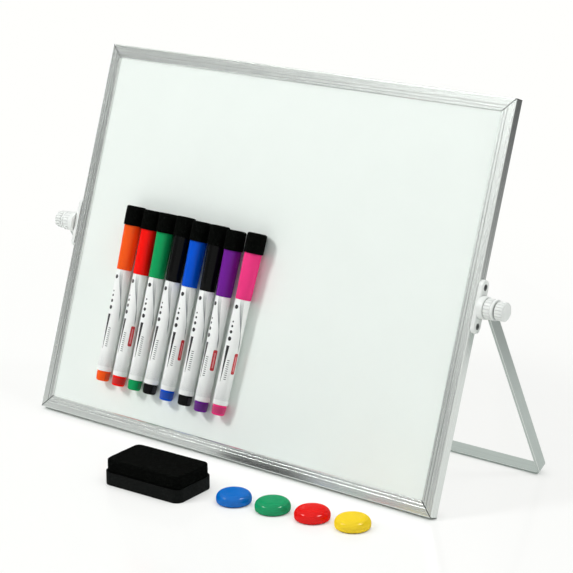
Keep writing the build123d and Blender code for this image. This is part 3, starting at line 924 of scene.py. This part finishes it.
# %% Caps
def cap():
    bm = turned(
        [(0, 111.6), (4.72, 111.6), (4.72, SHOULDER + 0.05), (5.5, SHOULDER + 0.05),
         (5.68, SHOULDER + 0.4), (5.85, 92.0), (6.33, 116.0), (6.35, CAP_TOP), (0, CAP_TOP)],
        ROUND_STEPS,
    )
    ease(bm, sharp_edges(bm, 25, rim_at(CAP_TOP)), 0.3 * MM, 3)
    return bm


for index, ink in enumerate(ROW):
    made = finish_piece(
        f"marker_{index + 1}_hollow_cap", cap(), ink_plastic[ink], f"cap_{index + 1}",
        [f"marker_{index + 1}_cap"], 35, marker_place(index, 0),
    )
print("8 caps of", len(made.data.polygons), "faces")

# %% [markdown]
# Felt is matted wool: it has no sharp edge and no smooth face.  The shape is turned with
# many small faces, its rims are rounded, and noise then lifts and sinks each point by a
# tenth or two of a millimetre.  The finish adds what is smaller: a speckle of lighter
# fibre ends and a fine bump.  It has next to no gloss.

# %% Black felt
def black_felt():
    dark = screen_colour(4, 5, 4)
    light = screen_colour(64, 68, 65)
    material, tree, skin = start_finish("black_felt", dark, 0.95, specular_ior_level=0.02)
    fibre = grain(tree, place(tree), 2100, 5.0, 0.75)
    tuft = grain(tree, place(tree), 620, 3.0)
    ends, tufts = ramp(tree, fibre, 0, 1, 0.56, 0.72), ramp(tree, tuft, 0.3, 1, 0.3, 0.7)
    speckle = sums(tree, "MULTIPLY", ends, tufts)
    tree.links.new(blend_colours(tree, speckle, dark, light), skin.inputs["Base Color"])
    bump(tree, skin, sums(tree, "ADD", fibre, tuft), 0.0003)
    return material


felt_finish = black_felt()


def roughen(bm, depth, scale, seed):
    """Lifts and sinks every point along its normal by two sizes of noise."""
    bm.normal_update()
    shift = Vector((seed * 3.7, seed * 1.3, seed * 5.1))
    for vert in bm.verts:
        coarse = noise.noise(vert.co * scale + shift)
        fine = noise.noise(vert.co * scale * 2.7 + shift)
        vert.co += vert.normal * (coarse + 0.6 * fine) * depth


FELT_SIDE, FELT_RIM, FELT_ROWS, FELT_RINGS = 7.1, 1.3, 22, 9


def cap_felt(seed):
    low, high = CAP_TOP + 0.05, FELT_TOP - 0.1
    rows = [low + (high - low) * step / FELT_ROWS for step in range(FELT_ROWS + 1)]
    rings = [FELT_SIDE * step / FELT_RINGS for step in range(FELT_RINGS)]
    outline = [(radius, low) for radius in rings] + [(FELT_SIDE, row) for row in rows]
    outline += [(radius, high) for radius in reversed(rings)]
    bm = turned(outline, 84)
    # Points past the quarter circle of the rim are drawn back onto it.
    rim_start, rim_base = FELT_SIDE - FELT_RIM, high - FELT_RIM
    for vert in bm.verts:
        height, radius = vert.co.z / MM, vert.co.xy.length / MM
        outward, upward = max(0.0, radius - rim_start), max(0.0, height - rim_base)
        far = math.hypot(outward, upward)
        if outward > 0 and upward > 0 and far > FELT_RIM:
            vert.co.z = (rim_base + upward * FELT_RIM / far) * MM
            vert.co.xy *= (rim_start + outward * FELT_RIM / far) / radius
    roughen(bm, 0.11 * MM, 1900, seed)
    return bm


for index in range(len(ROW)):
    made = finish_piece(
        f"marker_{index + 1}_cap_felt", cap_felt(index), felt_finish, f"cap_{index + 1}",
        [f"marker_{index + 1}_felt"], 75, marker_place(index, 0),
    )
print("8 cap felts of", len(made.data.polygons), "faces")

# %% [markdown]
# The block eraser is a dense foam base with a thick felt glued into its shallow seat.  The
# base is a box with rounded corners and a thin lip round the felt.  Its top is inset and
# let down for the seat, so it stays one closed shape.

# %% Eraser base
FRONT_EDGE = -20.333  # the board's lower front edge, from which the loose pieces are placed


def desk_place(right, forward, turn=0.0):
    """A place on the desk, in millimetres right of and in front of the board's edge."""
    spot = Matrix.Translation((right * MM, (FRONT_EDGE - forward) * MM, 0))
    return spot @ Matrix.Rotation(math.radians(turn), 4, "Z")


def rounded_block(length, width, low, high, corner, steps=10):
    bm = block_at((0, 0, (low + high) / 2), (length, width, high - low))
    upright = [e for e in bm.edges if abs(e.verts[0].co.z - e.verts[1].co.z) > 1e-5]
    ease(bm, upright, corner * MM, steps)
    return bm


def foam_finish():
    grey = screen_colour(19, 21, 20)
    material, tree, skin = start_finish("eraser_foam", grey, 0.62, specular_ior_level=0.04)
    fleck = grain(tree, place(tree), 1500, 4.0, 0.7)
    cells = grain(tree, place(tree), 420, 3.0)
    fleck_share = ramp(tree, fleck, 0, 1, 0.48, 0.7)
    tone = blend_colours(tree, fleck_share, shade(grey, 0.55), shade(grey, 2.2))
    tree.links.new(tone, skin.inputs["Base Color"])
    tree.links.new(ramp(tree, cells, 0.5, 0.75, 0.3, 0.7), skin.inputs["Roughness"])
    bump(tree, skin, fleck, 0.00012)
    return material


eraser_place = desk_place(-5.4, 61.7, 2.5)
block = rounded_block(66.0, 38.5, 0, 9.8, 6.0)
top = [face for face in block.faces if face.normal.z > 0.9]
bmesh.ops.inset_region(block, faces=top, thickness=1.1 * MM)
bmesh.ops.translate(
    block, vec=(0, 0, -1.0 * MM), verts=list({vert for face in top for vert in face.verts})
)
bmesh.ops.recalc_face_normals(block, faces=block.faces)
ease(block, sharp_edges(block, 40), 0.4 * MM, 3)
made = finish_piece(
    "eraser_base", block, foam_finish(), "eraser", ["eraser_handle"], 40,
    eraser_place,
)
print("eraser base", [round(v, 4) for v in made.dimensions])

# %% [markdown]
# The eraser's felt is thicker and looser than the caps'.  A voxel remesh first gives the
# block even small faces on every side, and then the same noise makes it shaggy.

# %% Eraser felt
def remeshed(bm, voxel):
    piece = temporary(bm)
    modifier = piece.modifiers.new("even", "REMESH")
    modifier.mode = "VOXEL"
    modifier.voxel_size = voxel
    return modified(piece)


pad = rounded_block(63.5, 36.0, 8.9, 18.4, 4.8)
ease(pad, sharp_edges(pad, 40, rim_at(18.4)), 1.2 * MM, 4)
pad = remeshed(pad, 0.55 * MM)
roughen(pad, 0.2 * MM, 1300, 11)
made = finish_piece(
    "eraser_pad", pad, felt_finish, "eraser", ["eraser_felt"], 80, eraser_place
)
print("eraser pad", len(made.data.polygons), "faces")

# %% [markdown]
# A button magnet is a gloss plastic shell pressed over a ferrite disc.  Its top is a very
# flat dome with a round shoulder, where the soft boxes leave their marks.  A coarse outline
# is turned and a subdivision surface rounds it.

# %% Button magnets
MAGNET_COLOURS = {
    "blue": screen_colour(4, 108, 198),
    "green": screen_colour(10, 152, 96),
    "red": screen_colour(232, 8, 4),
    "yellow": screen_colour(249, 214, 33),
}
MAGNET_RIGHT, MAGNET_FORWARD = (54.3, 29.3), (52.5, -4.75)  # the first place and the step
ferrite = brushed("ferrite", screen_colour(52, 50, 54), (500, 500, 500), roughness=0.55)
for index, (colour_name, colour) in enumerate(MAGNET_COLOURS.items()):
    spot = desk_place(*[start + index * step for start, step in (MAGNET_RIGHT, MAGNET_FORWARD)])
    name = f"magnet_{index + 1}"
    shell = turned(
        [(0, 8.0), (5.0, 7.98), (8.6, 7.85), (11.0, 6.6), (12.15, 4.4), (12.2, 2.8), (12.0, 1.1),
         (11.7, 0.62), (10.9, 0.6), (10.55, 0.75), (10.52, 1.6), (10.52, 2.6), (0, 2.62)],
        48,
    )
    gloss = moulded(f"magnet_{colour_name}", colour, 0.4, 300, 0.000001, 0.11, 0.0)
    made = finish_piece(
        f"{name}_button", shell, gloss, name, [f"{name}_shell"], 60, spot
    )
    modifier = made.modifiers.new("round", "SUBSURF")
    modifier.levels = modifier.render_levels = 2
    plate = turned([(0, 0), (10.5, 0), (10.5, 2.55), (0, 2.55)], 96)
    ease(plate, sharp_edges(plate), 0.25 * MM, 2)
    finish_piece(
        f"{name}_ferrite", plate, ferrite, name, [f"{name}_disc"], 35, spot
    )
print("4 button magnets")

# %% [markdown]
# The set stands on a white glossy table that runs on into a white background.  For the
# camera, and for reflections in metal, the table is mixed with a plain white light of
# strength 1.  The share of that light grows away from the set, so that the table ends in
# plain white, and it drops in the narrow gaps under the set, where ambient occlusion finds
# the real contact shadow.  The light adds nothing to the set itself.

# %% Floor
def background_rays(tree):
    """1 for the rays that see the white background: camera, gloss and glass."""
    seen = add(tree, "LightPath").outputs
    rays = [seen["Is Camera Ray"], seen["Is Glossy Ray"], seen["Is Transmission Ray"]]
    return all_of(tree, rays)


def floor_finish():
    white = screen_colour(250, 252, 250)
    material, tree, skin = start_finish("white_table", white, 0.12)
    cloud = grain(tree, place(tree), 6, 2.0)
    tree.links.new(blend_colours(tree, cloud, shade(white, 0.99), white), skin.inputs["Base Color"])
    glow = add(tree, "Emission", {"Color": screen_colour(255, 255, 253), "Strength": 1.0})
    reach = add(
        tree, "VectorMath", {0: add(tree, "TexCoord").outputs["Object"]}, operation="LENGTH"
    ).outputs["Value"]
    share = ramp(tree, reach, 0.75, 1.0, 0.25, 0.7)
    share = sums(tree, "MULTIPLY", share, ramp(tree, open_air(tree, 12 * MM, 8), 0, 1, 0.2, 0.95))
    share = sums(tree, "MULTIPLY", share, background_rays(tree))
    mix = add(tree, "MixShader", {0: share, 1: skin.outputs[0], 2: glow.outputs[0]})
    tree.links.new(mix.outputs[0], tree.nodes["Material Output"].inputs["Surface"])
    return material


bm = bmesh.new()
bmesh.ops.create_grid(bm, x_segments=4, y_segments=4, size=9.0)
floor_mesh = bpy.data.meshes.new("table_top")
bm.to_mesh(floor_mesh)
bm.free()
floor_mesh.materials.append(floor_finish())
floor = bpy.data.objects.new("table_top", floor_mesh)
bpy.context.scene.collection.objects.link(floor)
print("floor", [round(v, 1) for v in floor.dimensions])

# %% [markdown]
# The light is that of a product photograph: two soft boxes high up, the stronger on the
# left, and a pale room.  Gloss doesn't reflect these lamps, because the next cell puts a
# wider front before each.  Where the background is seen, directly or in metal and gloss,
# the room is plain white.

# %% Lamps and room
SET_MIDDLE = Vector((0, 0, 0.1))


def soft_box(name, place_at, size, power):
    lamp = bpy.data.lights.new(name, "AREA")
    lamp.shape = "RECTANGLE"
    lamp.size, lamp.size_y = size
    lamp.energy = power
    made = bpy.data.objects.new(name, lamp)
    made.location = place_at
    made.rotation_euler = (place_at - SET_MIDDLE).to_track_quat("Z", "Y").to_euler()
    made.visible_glossy = False
    bpy.context.scene.collection.objects.link(made)


LEFT_LIGHT, RIGHT_LIGHT = Vector((-1.55, -1.8, 2.3)), Vector((1.95, 0.45, 2.5))
soft_box("left_light", LEFT_LIGHT, (0.7, 0.7), 50)
soft_box("right_light", RIGHT_LIGHT, (0.6, 0.6), 22)

world = bpy.data.worlds.new("white_room")
bpy.context.scene.world = world
world.use_nodes = True
tree = world.node_tree
tree.nodes.clear()
height = add(tree, "SeparateXYZ", {0: add(tree, "TexCoord").outputs["Generated"]}).outputs[2]
share = ramp(tree, height, 0, 1, -0.2, 0.9)
room = blend_colours(tree, share, (0.42, 0.43, 0.43, 1), (0.92, 0.93, 0.93, 1))
room_light = add(tree, "Background", {"Color": room, "Strength": 0.62})
plain = add(tree, "Background", {"Color": screen_colour(255, 255, 253), "Strength": 1.0})
shaders = {0: background_rays(tree), 1: room_light.outputs[0], 2: plain.outputs[0]}
add(tree, "OutputWorld", {0: add(tree, "MixShader", shaders).outputs[0]})
bpy.context.scene.view_settings.view_transform = "Standard"
print("2 soft boxes and a pale room")

# %% [markdown]
# In an all-white room polished metal would vanish, so a photographer puts grey cards round
# it, outside the picture.  One stands at the front left: the rails' fronts reflect it, and
# it brightens towards its upper right, as the rails do.  A darker one stands behind on the
# right for the side of the frame.  The wide bright fronts of the soft boxes are cards as
# well, because they draw the marks on gloss.  Only reflections see the cards.

# %% Grey cards
def card(name, centre, faces, size, finish):
    bm = bmesh.new()
    turn = Vector(faces).to_track_quat("Z", "Y").to_matrix().to_4x4()
    stretch = Matrix.Diagonal((size[0] / 2, size[1] / 2, 1, 1))
    bmesh.ops.create_grid(bm, x_segments=1, y_segments=1, size=1.0, matrix=turn @ stretch)
    bmesh.ops.translate(bm, vec=centre, verts=bm.verts)
    mesh = bpy.data.meshes.new(name)
    bm.to_mesh(mesh)
    bm.free()
    mesh.materials.append(finish)
    made = bpy.data.objects.new(name, mesh)
    bpy.context.scene.collection.objects.link(made)
    made.visible_camera = made.visible_diffuse = made.visible_shadow = False
    made.visible_transmission = made.visible_volume_scatter = False


def card_finish(name, spot, radius, near, far, low=0.0):
    """A grey that changes smoothly with the distance from one spot, lighter near the floor."""
    material, tree, skin = start_finish(name, (0, 0, 0, 1), 1.0)
    where = add(tree, "TexCoord").outputs["Object"]
    away = add(tree, "VectorMath", {0: where, 1: spot}, operation="DISTANCE").outputs["Value"]
    inputs = {"Value": away, "From Min": 0.0, "From Max": radius, "To Min": near, "To Max": far}
    tone = add(tree, "MapRange", inputs, interpolation_type="SMOOTHSTEP").outputs[0]
    height = add(tree, "SeparateXYZ", {0: where}).outputs[2]
    tone = sums(tree, "ADD", tone, ramp(tree, height, low, 0, 0.1, 0.34))
    glow = add(tree, "Emission", {"Color": (1.0, 1.0, 0.99, 1), "Strength": tone})
    tree.links.new(glow.outputs[0], tree.nodes["Material Output"].inputs["Surface"])
    return material


LEFT_CARD = Vector((-0.9, -1.14, 0.505))
left_grey = card_finish("left_card", LEFT_CARD + Vector((0.28, -0.22, 0.3)), 0.42, 1.4, 0.42, 0.5)
card("left_card", LEFT_CARD, (0.6, 0.76, -0.25), (1.5, 0.9), left_grey)
RIGHT_CARD = Vector((0.33, 0.26, 0.22))
right_grey = card_finish("right_card", Vector((0.33, 0.26, 0.3)), 0.4, 0.05, 0.75)
card("right_card", RIGHT_CARD, (-0.55, -0.83, 0.0), (1.1, 0.42), right_grey)
for name, spot in (("left_box_front", LEFT_LIGHT), ("right_box_front", RIGHT_LIGHT)):
    card(name, spot, SET_MIDDLE - spot, (1.1, 0.8), card_finish(name, spot, 0.8, 21, 11))
print("2 grey cards and the fronts of 2 soft boxes")
